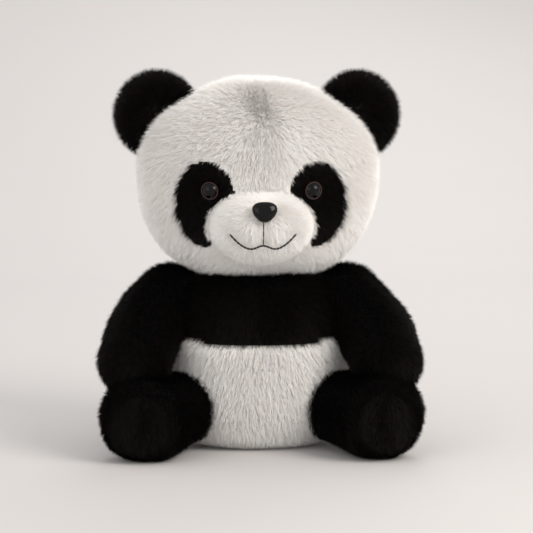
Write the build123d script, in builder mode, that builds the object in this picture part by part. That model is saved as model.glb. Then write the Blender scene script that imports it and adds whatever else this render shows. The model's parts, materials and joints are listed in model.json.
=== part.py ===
from build123d import *
import math
import os

# Plush panda, sitting with its legs out in front and its paws resting on its feet.
# Millimetres. The origin is the middle of the seat on the floor, +Z is up, and the panda faces -Y.
# Left and right are as a person facing the panda sees them: left is -X.

# Cloth, gaps and thread
cloth = 2.0  # one panel: knitted backing and the root of its pile
stitch = 0.05  # gap between layers that are sewn or packed together
joint_gap = 0.5  # gap between stuffed pieces that move on each other
seam_thread = 1.2  # thickness of a line of hand stitching

# Head: a broad ball, flattened from front to back
head_half_width = 93.0
head_half_depth = 74.0
head_top = 291.5
head_widest = 221.0
head_bottom = 143.0
crown_shape = (0.56, 0.50)  # how far the quarter runs level, and how far it runs upright
jaw_shape = (0.68, 0.62)

# Neck: a stuffed ball between the torso and the head
neck_height = 124.0
neck_radius = 29.5
neck_seam_height = 133.0

# Torso: an egg on a flat seat
torso_half_width = 73.0
torso_half_depth = 60.0
torso_top = 133.0
torso_widest = 53.0
seat_half_width = 52.0
shoulder_shape = (0.42, 0.33)
hem_shape = (0.90, 0.60)
band_height = 89.0  # lower edge of the black yoke and chest
seat_seam_height = 7.0
seat_press = 0.4  # how far the seat's curve is pressed flat where it stands
pellet_bag_radius = 25.0
pellet_bag_height = 30.0

# Arms
shoulder_at = (67.5, -2.0, 112.0)
shoulder_radius = 31.0
shoulder_room_gap = 7.5  # the root of the arm swings in this
paw_at = (98.5, -46.0, 83.0)
paw_radius = 24.5
arm_shape = (0.45, 0.30)
arm_core_radius = 14.0

# Legs
hip_at = (48.0, -24.0, 33.0)
hip_radius = 27.0
hip_room_gap = 4.0
hip_core_radius = 13.0
thigh_root_radius = 18.0
thigh_end_radius = 29.0
foot_at = (84.0, -68.5, 35.0)
foot_radius = 35.6
sole_turn = 12.0  # degrees that each sole faces outwards
sole_depth = 13.0  # how far the sole panel reaches back from the front of the foot
leg_side_seam_height = 36.0

# Ears
ear_at = (83.0, 0.0, 267.0)
ear_radius = 29.0
ear_half_thickness = 10.0
ear_turn = 12.0  # degrees that each ear's face is turned outwards
ear_hinge_at = (76.3, 0.0, 261.5)
ear_lean = 48.0  # degrees from upright to the line from the hinge through the middle of the ear
ear_fold = 20.0  # degrees that an ear folds each way
ear_root_gap = 1.5

# Face
muzzle_height = 181.0
muzzle_half_sizes = (37.5, 34.0, 29.5)
muzzle_front = -94.0
patch_at = (41.0, 198.5)
patch_half_sizes = (22.5, 34.0)
patch_cloth = 2.4
eye_at = (39.5, 207.0)
eye_diameter = 12.0
eye_rise = 3.6  # height of the dome over the iris ring
iris_diameter = 14.0
iris_thickness = 1.6
shank_diameter = 3.6
shank_length = 10.0
shank_room = 0.3
washer_diameter = 15.0
washer_thickness = 1.6
washer_seat = 0.5  # the cloth is curved, so the washer stands off it in the middle
nose_washer_seat = 1.7
nose_height = 194.0
nose_cheek = (4.7, 3.2, 4.6)  # across, up and radius of each upper corner
nose_tip = (-4.0, 3.8)  # up and radius of the lower corner
nose_rise = 5.5
nose_sink = 3.0
nose_edge = 2.4
mouth_line = 1.1
philtrum_top = 186.0
philtrum_foot = 167.0
smile_half_width = 24.5
smile_end = 173.0
smile_low = 163.5
mouth_reach = 6.0

# Tail and small sewn pieces
tail_at = (0.0, 61.0, 33.0)
tail_radius = 15.5
label_size = (20.0, 26.0)
label_at = (-34.0, 26.0)
label_cloth = 0.6
closing_length = 54.0


def egg_face(shape, inset):
    # One half of an egg's outline, filled in: two curved quarters and the axis
    width, depth, top, widest, bottom, upper, lower, foot = shape
    width, top, bottom, foot = width - inset, top - inset, bottom + inset, max(foot - inset, 0)
    with BuildSketch(mode=Mode.PRIVATE) as outline:
        with BuildLine():
            Bezier(
                (0, top),
                (width * upper[0], top),
                (width, widest + (top - widest) * upper[1]),
                (width, widest),
            )
            Bezier(
                (width, widest),
                (width, widest - (widest - bottom) * lower[1]),
                (foot + (width - foot) * lower[0], bottom),
                (foot, bottom),
            )
            if foot > 0:
                Line((foot, bottom), (0, bottom))
            Line((0, bottom), (0, top))
        make_face()
    return outline.sketch


def egg(shape, outer, inner=None, turn=(0, 360), heights=None):
    # An egg, or the wall between two of them, turned about Z and then narrowed from front to back
    with BuildPart(mode=Mode.PRIVATE) as turned:
        with BuildSketch(Plane.XZ.rotated((0, 0, turn[0]))):
            add(egg_face(shape, outer))
            if inner is not None:
                add(egg_face(shape, inner), mode=Mode.SUBTRACT)
            if heights is not None:
                with Locations((0, sum(heights) / 2)):
                    Rectangle(4 * shape[0], heights[1] - heights[0], mode=Mode.INTERSECT)
        revolve(axis=Axis.Z, revolution_arc=turn[1])
        scale(by=(1, shape[1] / shape[0], 1))
    return turned.part


def muzzle_wall(outer, inner=None):
    # The muzzle's stretched ball, or the wall between two of them
    with BuildPart(mode=Mode.PRIVATE) as stretched:
        Sphere(1)
        scale(by=tuple(size - outer for size in muzzle_half_sizes))
        if inner is not None:
            with BuildPart(mode=Mode.SUBTRACT):
                Sphere(1)
                scale(by=tuple(size - inner for size in muzzle_half_sizes))
    return stretched.part.moved(Location((0, muzzle_front + muzzle_half_sizes[1], muzzle_height)))


def ball(at, radius):
    with BuildPart(Plane(origin=at), mode=Mode.PRIVATE) as round_form:
        Sphere(radius)
    return round_form.part


def mirrored(at, side):
    return (side * at[0], at[1], at[2])


def on_front(form, x, z):
    # The plane that touches a form's front at (x, z), with its normal outwards
    point, normal = form.find_intersection_points(Axis((x, -300, z), (0, 1, 0)))[0]
    return Plane(origin=point, x_dir=(1, 0, 0), z_dir=normal)


def arm_face(inset):
    # Half of the arm's outline along its own length: a ball at the shoulder that tapers to a round paw
    root, tip = shoulder_radius - inset, paw_radius - inset
    with BuildSketch(mode=Mode.PRIVATE) as outline:
        with BuildLine():
            RadiusArc((0, -root), (root, 0), -root)
            Bezier(
                (root, 0),
                (root, arm_length * arm_shape[0]),
                (tip, arm_length * (1 - arm_shape[1])),
                (tip, arm_length),
            )
            RadiusArc((tip, arm_length), (0, arm_length + tip), -tip)
            Line((0, arm_length + tip), (0, -root))
        make_face()
    return outline.sketch


def arm(outer, inner=None, arc=360):
    with BuildPart(mode=Mode.PRIVATE) as turned:
        with BuildSketch(arm_plane):
            add(arm_face(outer))
            if inner is not None:
                add(arm_face(inner), mode=Mode.SUBTRACT)
        revolve(axis=Axis(arm_plane.origin, arm_plane.y_dir), revolution_arc=arc)
    return turned.part


def leg(inset):
    # A ball at the hip, a thigh, and a round foot, cut level where the foot stands
    with BuildPart(mode=Mode.PRIVATE) as whole:
        add(ball(hip_at, hip_radius - inset))
        with BuildSketch(thigh_plane):
            Circle(thigh_root_radius - inset)
        with BuildSketch(thigh_plane.offset(thigh_length)):
            Circle(thigh_end_radius - inset)
        loft()
        add(ball(foot_at, foot_radius - inset))
        split(bisect_by=Plane.XY.offset(inset), keep=Keep.TOP)
        add(ball(paw_at, paw_radius + joint_gap + inset), mode=Mode.SUBTRACT)
    return whole.part


def ear_ball(inset):
    with BuildPart(mode=Mode.PRIVATE) as flat_ball:
        Sphere(1)
        scale(by=(ear_radius - inset, ear_half_thickness - inset, ear_radius - inset))
    return flat_ball.part.moved(Location(ear_at) * Rotation(0, 0, ear_turn))


def finish(piece, name):
    piece.part.label = name
    export_step(piece.part, f"parts/{name}.step")
    print(f"{name}: {len(piece.part.solids())} solid(s), {piece.part.volume:.0f} mm3", flush=True)


def finish_pair(piece, name):
    # The piece is the right one, and its mirror image is the left one
    finish(piece, f"{name}_right")
    with BuildPart() as other:
        mirror(piece.part, about=Plane.YZ)
    finish(other, f"{name}_left")


os.makedirs("parts", exist_ok=True)
sides = {"left": -1, "right": 1}
quarters = {"face_left": -180, "face_right": -90, "back_right": 0, "back_left": 90}

head_shape = (
    head_half_width, head_half_depth, head_top, head_widest, head_bottom, crown_shape, jaw_shape, 0,
)
torso_shape = (
    torso_half_width, torso_half_depth, torso_top, torso_widest, -seat_press, shoulder_shape, hem_shape, seat_half_width,
)
arm_line = Vector(*paw_at) - Vector(*shoulder_at)
arm_length = arm_line.length
arm_plane = Plane(origin=shoulder_at, x_dir=arm_line.cross(Vector(1, 0, 0)), z_dir=arm_line)
arm_plane = Plane(origin=shoulder_at, x_dir=arm_plane.x_dir, z_dir=-arm_plane.y_dir)
thigh_line = Vector(*foot_at) - Vector(*hip_at)
thigh_length = thigh_line.length
thigh_plane = Plane(origin=hip_at, z_dir=thigh_line)

# The room that moving pieces need
neck_at = (0, 0, neck_height)
neck_room = ball(neck_at, neck_radius + joint_gap)
torso_room = [neck_room]
for side in sides.values():
    torso_room.append(ball(mirrored(shoulder_at, side), shoulder_radius + shoulder_room_gap))
    torso_room.append(ball(mirrored(hip_at, side), hip_radius + hip_room_gap))

# Where the eyes and the nose pass through the cloth
head_clear = egg(head_shape, -stitch)
torso_clear = egg(torso_shape, -stitch)
muzzle_clear = muzzle_wall(-stitch)
eye_plane = on_front(egg(head_shape, -patch_cloth), *eye_at)
nose_plane = on_front(muzzle_wall(0), 0, nose_height)
eye_washer_top = -(patch_cloth + cloth + washer_seat)
nose_washer_top = -(cloth + nose_washer_seat)

with BuildPart(mode=Mode.PRIVATE) as eye_room:
    with BuildSketch(eye_plane.offset(-shank_length - shank_room)):
        Circle(shank_diameter / 2 + shank_room)
    extrude(amount=shank_length + 2 * shank_room)
    mirror(about=Plane.YZ)

with BuildPart(mode=Mode.PRIVATE) as eye_washer_room:
    with BuildSketch(eye_plane.offset(eye_washer_top - washer_thickness - shank_room)):
        Circle(washer_diameter / 2 + shank_room)
    extrude(amount=washer_thickness + washer_seat + shank_room)
    mirror(about=Plane.YZ)

with BuildPart(mode=Mode.PRIVATE) as nose_room:
    with BuildSketch(nose_plane.offset(-shank_length - shank_room)):
        Circle(shank_diameter / 2 + shank_room)
    extrude(amount=shank_length + 2 * shank_room)

with BuildPart(mode=Mode.PRIVATE) as nose_washer_room:
    with BuildSketch(nose_plane.offset(nose_washer_top - washer_thickness - shank_room)):
        Circle(washer_diameter / 2 + shank_room)
    extrude(amount=washer_thickness + nose_washer_seat + shank_room)

# Head: two face panels and two back panels, packed with stuffing
for name, start in quarters.items():
    with BuildPart() as head_panel:
        add(egg(head_shape, 0, cloth, turn=(start, 90)))
        add(neck_room, mode=Mode.SUBTRACT)
        if name.startswith("face"):
            add(eye_room.part, mode=Mode.SUBTRACT)
    finish(head_panel, f"head_{name}")

with BuildPart() as head_stuffing:
    add(egg(head_shape, cloth + stitch))
    add(neck_room, mode=Mode.SUBTRACT)
    add(eye_room.part, mode=Mode.SUBTRACT)
    add(eye_washer_room.part, mode=Mode.SUBTRACT)
finish(head_stuffing, "head_stuffing")

# Muzzle: two panels over their own stuffing, sewn to the front of the face
with BuildPart() as muzzle:
    add(muzzle_wall(0, cloth))
    split(bisect_by=Plane.YZ, keep=Keep.TOP)
    add(head_clear, mode=Mode.SUBTRACT)
    add(nose_room.part, mode=Mode.SUBTRACT)
finish_pair(muzzle, "muzzle")

with BuildPart() as muzzle_stuffing:
    add(muzzle_wall(cloth + stitch))
    add(head_clear, mode=Mode.SUBTRACT)
    add(nose_room.part, mode=Mode.SUBTRACT)
    add(nose_washer_room.part, mode=Mode.SUBTRACT)
finish(muzzle_stuffing, "muzzle_stuffing")

# Eye patches, and a safety eye through each: dome and shank, iris ring, and washer
with BuildPart() as eye_patch:
    with BuildSketch(Plane.XZ):
        with Locations(patch_at):
            Ellipse(*patch_half_sizes)
    extrude(amount=head_half_depth + patch_cloth)
    add(egg(head_shape, -patch_cloth, -stitch, turn=(-90, 90)), mode=Mode.INTERSECT)
    add(muzzle_clear, mode=Mode.SUBTRACT)
    add(eye_room.part, mode=Mode.SUBTRACT)
finish_pair(eye_patch, "eye_patch")

iris_face = eye_plane.offset(stitch + iris_thickness)
with BuildPart() as eye_iris:
    with BuildSketch(eye_plane.offset(stitch)):
        Circle(iris_diameter / 2)
        Circle(shank_diameter / 2 + stitch, mode=Mode.SUBTRACT)
    extrude(amount=iris_thickness)
finish_pair(eye_iris, "eye_iris")

dome_radius = ((eye_diameter / 2) ** 2 + eye_rise**2) / (2 * eye_rise)
with BuildPart() as eye:
    add(ball(iris_face.offset(stitch + eye_rise - dome_radius).origin, dome_radius))
    split(bisect_by=iris_face.offset(stitch), keep=Keep.TOP)
    with BuildSketch(eye_plane.offset(-shank_length)):
        Circle(shank_diameter / 2)
    extrude(amount=shank_length + iris_thickness + eye_rise / 2)
finish_pair(eye, "eye")

with BuildPart() as eye_washer:
    with BuildSketch(eye_plane.offset(eye_washer_top - washer_thickness)):
        Circle(washer_diameter / 2)
        Circle(shank_diameter / 2 + stitch, mode=Mode.SUBTRACT)
    extrude(amount=washer_thickness)
finish_pair(eye_washer, "eye_washer")

# Nose: a rounded three-cornered button on a shank, held by a washer
cheek_across, cheek_up, cheek_radius = nose_cheek
tip_up, tip_radius = nose_tip
with BuildPart() as nose:
    with BuildSketch(nose_plane.offset(-nose_sink)):
        with Locations((-cheek_across, cheek_up), (cheek_across, cheek_up)):
            Circle(cheek_radius)
        with Locations((0, tip_up)):
            Circle(tip_radius)
        make_hull()
    extrude(amount=nose_sink + nose_rise)
    fillet(nose.faces().sort_by(Axis(nose_plane.origin, nose_plane.z_dir))[-1].edges(), nose_edge)
    add(muzzle_clear, mode=Mode.SUBTRACT)
    with BuildSketch(nose_plane.offset(-shank_length)):
        Circle(shank_diameter / 2)
    extrude(amount=shank_length + nose_rise / 2)
finish(nose, "nose")

with BuildPart() as nose_washer:
    with BuildSketch(nose_plane.offset(nose_washer_top - washer_thickness)):
        Circle(washer_diameter / 2)
        Circle(shank_diameter / 2 + stitch, mode=Mode.SUBTRACT)
    extrude(amount=washer_thickness)
finish(nose_washer, "nose_washer")

# Mouth: a line of thread that follows the muzzle, down from the nose and out to both cheeks
with BuildPart() as mouth_stitching:
    with BuildSketch(Plane.XZ):
        with BuildLine():
            Line((0, philtrum_top), (0, philtrum_foot))
            for side in sides.values():
                low = (side * smile_half_width / 2, smile_low)
                ThreePointArc((0, philtrum_foot), low, (side * smile_half_width, smile_end))
        trace(line_width=mouth_line)
    extrude(amount=-muzzle_front + seam_thread)
    split(bisect_by=Plane.XZ.offset(-muzzle_front - muzzle_half_sizes[1] + mouth_reach), keep=Keep.TOP)
    add(muzzle_wall(-seam_thread), mode=Mode.INTERSECT)
    add(muzzle_clear, mode=Mode.SUBTRACT)
finish(mouth_stitching, "mouth_stitching")

# Neck: its stuffing, and the thread that closes the neck
with BuildPart() as neck_stuffing:
    add(ball(neck_at, neck_radius))
finish(neck_stuffing, "neck_stuffing")

seam_rise = neck_seam_height - neck_height
with BuildPart() as neck_seam:
    with Locations((0, 0, neck_seam_height)):
        Torus((neck_radius**2 - seam_rise**2) ** 0.5 + seam_thread / 2, seam_thread / 2)
    add(ball(neck_at, neck_radius + stitch), mode=Mode.SUBTRACT)
finish(neck_seam, "neck_seam")

# Ears: a front and a back panel round a thin pad, with a root shaped like a wedge so that it can fold
ear_up = Vector(0, 0, 1).rotate(Axis.Y, ear_lean)
ear_root = Vector(*ear_hinge_at) + ear_up * ear_root_gap
ear_reach = 2 * ear_radius
ear_slope = ear_reach * math.tan(math.radians(ear_fold))
with BuildPart(mode=Mode.PRIVATE) as root_room:
    with BuildSketch(Plane(origin=ear_root, x_dir=(0, 1, 0), z_dir=Vector(0, 1, 0).cross(ear_up))):
        with BuildLine():
            Polyline(
                (0, 0), (ear_reach, ear_slope), (ear_reach, -ear_reach), (-ear_reach, -ear_reach),
                (-ear_reach, ear_slope), (0, 0),
            )
        make_face()
    extrude(amount=ear_reach, both=True)
ear_face = Plane(origin=ear_at, z_dir=Vector(0, -1, 0).rotate(Axis.Z, ear_turn))
for region, keep in (("front", Keep.TOP), ("back", Keep.BOTTOM)):
    with BuildPart() as ear_panel:
        add(ear_ball(0))
        add(ear_ball(cloth), mode=Mode.SUBTRACT)
        add(root_room.part, mode=Mode.SUBTRACT)
        split(bisect_by=ear_face, keep=keep)
    finish_pair(ear_panel, f"ear_{region}")

with BuildPart() as ear_stuffing:
    add(ear_ball(cloth + stitch))
    add(root_room.part, mode=Mode.SUBTRACT)
finish_pair(ear_stuffing, "ear_stuffing")

# Torso: two chest panels and a yoke in black, the belly, two lower back panels and the seat
above_band = (band_height, torso_top)
below_band = (seat_seam_height, band_height)
torso_panels = {
    "chest_left": ((-180, 90), above_band),
    "chest_right": ((-90, 90), above_band),
    "back_yoke": ((0, 180), above_band),
    "belly": ((-180, 180), below_band),
    "lower_back_right": ((0, 90), below_band),
    "lower_back_left": ((90, 90), below_band),
    "seat_base": ((0, 360), (-2 * seat_press, seat_seam_height)),
}
for name, (turn, heights) in torso_panels.items():
    with BuildPart() as torso_panel:
        add(egg(torso_shape, 0, cloth, turn, heights))
        for room in torso_room:
            add(room, mode=Mode.SUBTRACT)
        if heights[0] < 0:
            split(bisect_by=Plane.XY, keep=Keep.TOP)
    finish(torso_panel, name)

pellet_bag_at = (0, 0, pellet_bag_height)
with BuildPart() as torso_stuffing:
    add(egg(torso_shape, cloth + stitch))
    for room in torso_room:
        add(room, mode=Mode.SUBTRACT)
    add(ball(pellet_bag_at, pellet_bag_radius + stitch), mode=Mode.SUBTRACT)
finish(torso_stuffing, "torso_stuffing")

with BuildPart() as pellet_bag:
    add(ball(pellet_bag_at, pellet_bag_radius))
finish(pellet_bag, "pellet_bag")

# Tail
with BuildPart() as tail_cover:
    add(ball(tail_at, tail_radius))
    add(ball(tail_at, tail_radius - cloth), mode=Mode.SUBTRACT)
    add(torso_clear, mode=Mode.SUBTRACT)
finish(tail_cover, "tail_cover")

with BuildPart() as tail_stuffing:
    add(ball(tail_at, tail_radius - cloth - stitch))
    add(torso_clear, mode=Mode.SUBTRACT)
finish(tail_stuffing, "tail_stuffing")

# Blank care label and the hand-sewn closing seam, both flat on the back
back_turn = (0, 180)
with BuildPart() as care_label:
    with BuildSketch(Plane.XZ):
        with Locations(label_at):
            Rectangle(*label_size)
    extrude(amount=-torso_half_depth - label_cloth)
    add(egg(torso_shape, -label_cloth - stitch, -stitch, back_turn), mode=Mode.INTERSECT)
finish(care_label, "care_label")

with BuildPart() as closing_seam:
    with BuildSketch(Plane.XZ):
        with Locations((0, band_height)):
            Rectangle(closing_length, seam_thread)
    extrude(amount=-torso_half_depth - seam_thread)
    add(egg(torso_shape, -seam_thread, -stitch, back_turn), mode=Mode.INTERSECT)
finish(closing_seam, "closing_seam")

# Arms: an outer and an inner panel, with a ball of stuffing at the shoulder that the arm turns on
for region, arc in (("outer", -180), ("inner", 180)):
    with BuildPart() as arm_panel:
        add(arm(0, cloth, arc))
    finish_pair(arm_panel, f"arm_{region}")

with BuildPart() as arm_stuffing:
    add(arm(cloth + stitch))
    add(ball(shoulder_at, arm_core_radius + joint_gap), mode=Mode.SUBTRACT)
finish_pair(arm_stuffing, "arm_stuffing")

with BuildPart() as shoulder_core:
    add(ball(shoulder_at, arm_core_radius))
finish_pair(shoulder_core, "shoulder_core")

# Legs: an upper and an under panel and a sole, with a ball of stuffing at the hip
sole_facing = Vector(0, -1, 0).rotate(Axis.Z, sole_turn)
sole_seam = Plane(origin=foot_at, z_dir=sole_facing).offset(foot_radius - sole_depth)
leg_side_seam = Plane.XY.offset(leg_side_seam_height)
leg_panels = {
    "leg_upper": ((sole_seam, Keep.BOTTOM), (leg_side_seam, Keep.TOP)),
    "leg_under": ((sole_seam, Keep.BOTTOM), (leg_side_seam, Keep.BOTTOM)),
    "sole": ((sole_seam, Keep.TOP),),
}
with BuildPart(mode=Mode.PRIVATE) as leg_skin:
    add(leg(0))
    add(leg(cloth), mode=Mode.SUBTRACT)
for name, cuts in leg_panels.items():
    with BuildPart() as leg_panel:
        add(leg_skin.part)
        for plane, keep in cuts:
            split(bisect_by=plane, keep=keep)
    finish_pair(leg_panel, name)

with BuildPart() as leg_stuffing:
    add(leg(cloth + stitch))
    add(ball(hip_at, hip_core_radius + joint_gap), mode=Mode.SUBTRACT)
finish_pair(leg_stuffing, "leg_stuffing")

with BuildPart() as hip_core:
    add(ball(hip_at, hip_core_radius))
finish_pair(hip_core, "hip_core")
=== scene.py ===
import json
import math
import bmesh
import bpy
from mathutils import Matrix, Vector, noise

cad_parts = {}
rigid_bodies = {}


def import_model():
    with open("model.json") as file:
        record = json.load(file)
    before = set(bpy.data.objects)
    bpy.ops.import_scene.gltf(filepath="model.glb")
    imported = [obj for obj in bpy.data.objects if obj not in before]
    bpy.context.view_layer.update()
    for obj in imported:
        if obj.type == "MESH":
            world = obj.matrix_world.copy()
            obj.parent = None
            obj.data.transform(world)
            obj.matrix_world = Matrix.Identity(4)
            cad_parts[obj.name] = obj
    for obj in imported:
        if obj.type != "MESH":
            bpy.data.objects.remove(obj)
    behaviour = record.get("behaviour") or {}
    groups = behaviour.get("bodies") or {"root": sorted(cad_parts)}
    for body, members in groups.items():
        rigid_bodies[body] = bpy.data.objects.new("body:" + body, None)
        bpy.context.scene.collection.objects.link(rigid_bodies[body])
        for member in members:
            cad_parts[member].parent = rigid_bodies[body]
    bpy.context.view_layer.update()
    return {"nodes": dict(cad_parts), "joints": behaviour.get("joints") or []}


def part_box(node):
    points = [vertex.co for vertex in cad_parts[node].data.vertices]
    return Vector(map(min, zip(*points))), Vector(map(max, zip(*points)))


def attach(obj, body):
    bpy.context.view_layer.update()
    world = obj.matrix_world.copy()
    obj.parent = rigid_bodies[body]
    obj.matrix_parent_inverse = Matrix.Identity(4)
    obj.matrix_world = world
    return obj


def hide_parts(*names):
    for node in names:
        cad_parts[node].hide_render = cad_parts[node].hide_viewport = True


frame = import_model()
mm = 0.001
signs = {"left": -1, "right": 1}  # the toy's left is at -X
down = Vector((0, 0, -1))
print("frame loaded")


# small helpers

def srgb(code):
    # an sRGB hex colour as the linear values that the shaders read
    parts = [int(code[i:i + 2], 16) / 255 for i in (1, 3, 5)]
    return [c / 12.92 if c <= 0.04045 else ((c + 0.055) / 1.055) ** 2.4 for c in parts] + [1.0]


def addNode(tree, kind, settings=None, links=None, **inputs):
    # links: {input: socket that feeds it}; inputs: plain values, with _ for a space in a name
    node = tree.nodes.new(kind)
    for key, value in (settings or {}).items():
        setattr(node, key, value)
    for key, value in inputs.items():
        node.inputs[key.replace("_", " ")].default_value = value
    for key, socket in (links or {}).items():
        tree.links.new(socket, node.inputs[key])
    return node


def jointAt(name):
    for joint in frame["joints"]:
        if joint["name"] == name:
            return Vector(joint["pos_m"])
    raise KeyError(name)


def cadCorners(*nodes):
    lows, highs = zip(*[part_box(n) for n in nodes])
    low = Vector([min(v[i] for v in lows) for i in range(3)])
    high = Vector([max(v[i] for v in highs) for i in range(3)])
    return low, high


def smooth(low, high, value):
    # 0 below low, 1 above high and an even blend between them
    t = min(1.0, max(0.0, (value - low) / (high - low)))
    return t * t * (3 - 2 * t)


def sideOf(x):
    return 1 if x >= 0 else -1


def mirrored(place, sign):
    return Vector((sign * place.x, place.y, place.z))


def keep(bm, name, material=None):
    # turns a bmesh into a finished object at the origin
    mesh = bpy.data.meshes.new(name)
    bm.to_mesh(mesh)
    bm.free()
    for polygon in mesh.polygons:
        polygon.use_smooth = True
    piece = bpy.data.objects.new(name, mesh)
    bpy.context.scene.collection.objects.link(piece)
    if material:
        mesh.materials.append(material)
    return piece


def ready(piece, body, slotName, *nodes):
    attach(piece, body)
    if nodes:
        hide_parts(*nodes)
    return piece


# camera and stage

view = {
    "distance": 1.5, "azimuth": -3.0, "elevation": 6.0, "fieldOfView": 16.36,
    "aimAcross": 7.3 * mm, "aimHeight": 141 * mm, "clipStart": 0.05,
}


def makeCamera():
    a, e = math.radians(view["azimuth"]), math.radians(view["elevation"])
    away = Vector((math.sin(a) * math.cos(e), -math.cos(a) * math.cos(e), math.sin(e)))
    across = Vector((math.cos(a), math.sin(a), 0)) * view["aimAcross"]
    aim = across + Vector((0, 0, view["aimHeight"]))
    data = bpy.data.cameras.new("camera")
    data.angle = math.radians(view["fieldOfView"])
    data.clip_start = view["clipStart"]
    camera = bpy.data.objects.new("camera", data)
    camera.location = aim + away * view["distance"]
    camera.rotation_euler = (-away).to_track_quat("-Z", "Y").to_euler()
    bpy.context.scene.collection.objects.link(camera)
    bpy.context.scene.camera = camera


studio = {
    "paper": "#D3D0CE", "paperRoughness": 0.95, "room": "#F4F2F1", "roomStrength": 0.9,
    "halfWidth": 4.0, "halfDepth": 3.0, "middleBack": 1.6, "rows": 40,
    "curlFrom": 1.2, "curl": 1.6,  # the paper lifts off the floor from here, ever more steeply
    "lightAim": (0, 0, 0.13),
}
lights = {
    "key": {"at": (1.2, -1.0, 1.15), "power": 20.0, "size": 1.0, "colour": "#FFFAF4"},
    "fill": {"at": (-1.3, -1.2, 0.7), "power": 4.5, "size": 1.2, "colour": "#FFFFFF"},
    "rim": {"at": (0.3, 1.3, 1.2), "power": 7.0, "size": 0.9, "colour": "#FFFFFF"},
}


def areaLight(name, at, power, size, colour):
    data = bpy.data.lights.new(name, "AREA")
    data.energy, data.size, data.color = power, size, srgb(colour)[:3]
    light = bpy.data.objects.new(name, data)
    light.location = at
    aim = Vector(studio["lightAim"]) - Vector(at)
    light.rotation_euler = aim.to_track_quat("-Z", "Y").to_euler()
    bpy.context.scene.collection.objects.link(light)


def makeStage():
    # a sheet of paper that runs back and then curves up
    bm = bmesh.new()
    bmesh.ops.create_grid(bm, x_segments=1, y_segments=studio["rows"], size=1.0)
    for v in bm.verts:
        v.co.x *= studio["halfWidth"]
        y = v.co.y * studio["halfDepth"] + studio["middleBack"]
        v.co.z = 0.0 if y < studio["curlFrom"] else (y - studio["curlFrom"]) ** studio["curl"]
        v.co.y = y
    paper = bpy.data.materials.new("seamlessPaper")  # matt: it takes soft shadows and no gloss
    paper.use_nodes = True
    shader = paper.node_tree.nodes["Principled BSDF"]
    shader.inputs["Base Color"].default_value = srgb(studio["paper"])
    shader.inputs["Roughness"].default_value = studio["paperRoughness"]
    keep(bm, "floor", paper)
    world = bpy.data.worlds.new("room")
    world.use_nodes = True
    background = world.node_tree.nodes["Background"]
    background.inputs["Color"].default_value = srgb(studio["room"])
    background.inputs["Strength"].default_value = studio["roomStrength"]
    bpy.context.scene.world = world
    for name, light in lights.items():
        areaLight(name, **light)
    bpy.context.scene.view_settings.view_transform = "Standard"


makeCamera()
makeStage()
print("camera and stage made")


# materials

def plain(name, colour, **inputs):
    material = bpy.data.materials.new(name)
    material.use_nodes = True
    shader = material.node_tree.nodes["Principled BSDF"]
    shader.inputs["Base Color"].default_value = srgb(colour)
    for key, value in inputs.items():
        shader.inputs[key.replace("_", " ")].default_value = value
    return material


knit = {"roughness": 0.9, "bumpStrength": 0.4, "bumpDepth": 0.4 * mm}


def knitted(name, colour, dark, loopSize):
    # a matt knit or felted cloth: tiny loops, seen only where the pile parts
    material = plain(name, colour, Roughness=knit["roughness"])
    tree = material.node_tree
    shader = tree.nodes["Principled BSDF"]
    place = addNode(tree, "ShaderNodeTexCoord")
    loops = addNode(
        tree, "ShaderNodeTexVoronoi", None, {"Vector": place.outputs["Object"]}, Scale=1 / loopSize)
    ramp = addNode(tree, "ShaderNodeValToRGB", None, {"Fac": loops.outputs["Distance"]})
    ramp.color_ramp.elements[0].color = srgb(colour)
    ramp.color_ramp.elements[1].color = srgb(dark)
    tree.links.new(ramp.outputs["Color"], shader.inputs["Base Color"])
    bump = addNode(
        tree, "ShaderNodeBump", None, {"Height": loops.outputs["Distance"]},
        Strength=knit["bumpStrength"], Distance=knit["bumpDepth"])
    tree.links.new(bump.outputs["Normal"], shader.inputs["Normal"])
    return material


# polyester pile: each batch of fibre has strands that differ a little in tone, which breaks up
# the colour as real pile does; a little sheen gives it its soft edge
pileTones = {
    "white": ("#FFFDFA", "#FBF7F2", "#FFFFFF"),
    "black": ("#070605", "#040404", "#160E0B"),
}
pileLook = {
    "white": dict(Roughness=0.75, Sheen_Weight=0.25, Sheen_Roughness=0.5, Specular_IOR_Level=0.25),
    "black": dict(Roughness=0.6, Sheen_Weight=0.015, Sheen_Roughness=0.4, Specular_IOR_Level=0.14),
}
pile = {
    batch: [plain(f"{batch}Pile{i}", tone, **pileLook[batch]) for i, tone in enumerate(tones)]
    for batch, tones in pileTones.items()
}
# polyester knit that carries the pile
backing = {
    "white": knitted("whiteKnitBacking", "#FAF6F0", "#F0EAE2", 1.6 * mm),
    "black": knitted("blackKnitBacking", "#060505", "#030303", 1.6 * mm),
}
# polished acrylic button: a small, clear highlight
blackButton = plain("blackAcrylic", "#030303", Roughness=0.12, Specular_IOR_Level=0.22)
# the painted ring behind the dome, seen as a red-brown rim
amberRing = plain("redBrownAcrylic", "#260C07", Roughness=0.2, Specular_IOR_Level=0.4)
# cotton-polyester embroidery thread: soft sheen along the ply
blackThread = plain("blackThread", "#14100E", Roughness=0.6, Sheen_Weight=0.3)
# felted fibre filling: matt and off-white
fibreFill = knitted("polyesterFibreFill", "#F4F3F0", "#E2E1DD", 3 * mm)
# moulded nylon, undyed: satin and slightly yellow
washerNylon = plain("naturalNylon", "#E4E1D6", Roughness=0.45)
# woven cotton bag: matt cream
pelletCotton = knitted("cottonPelletBag", "#E8E2D4", "#CFC8B8", 1 * mm)
# satin ribbon: smooth, with a sheen
labelSatin = plain("satinRibbon", "#F4F3F1", Roughness=0.35, Sheen_Weight=0.4)


def paint(node, material):
    frame["nodes"][node].data.materials.clear()
    frame["nodes"][node].data.materials.append(material)


print("materials made")


# skins: the sewn and stuffed forms that carry the pile

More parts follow.
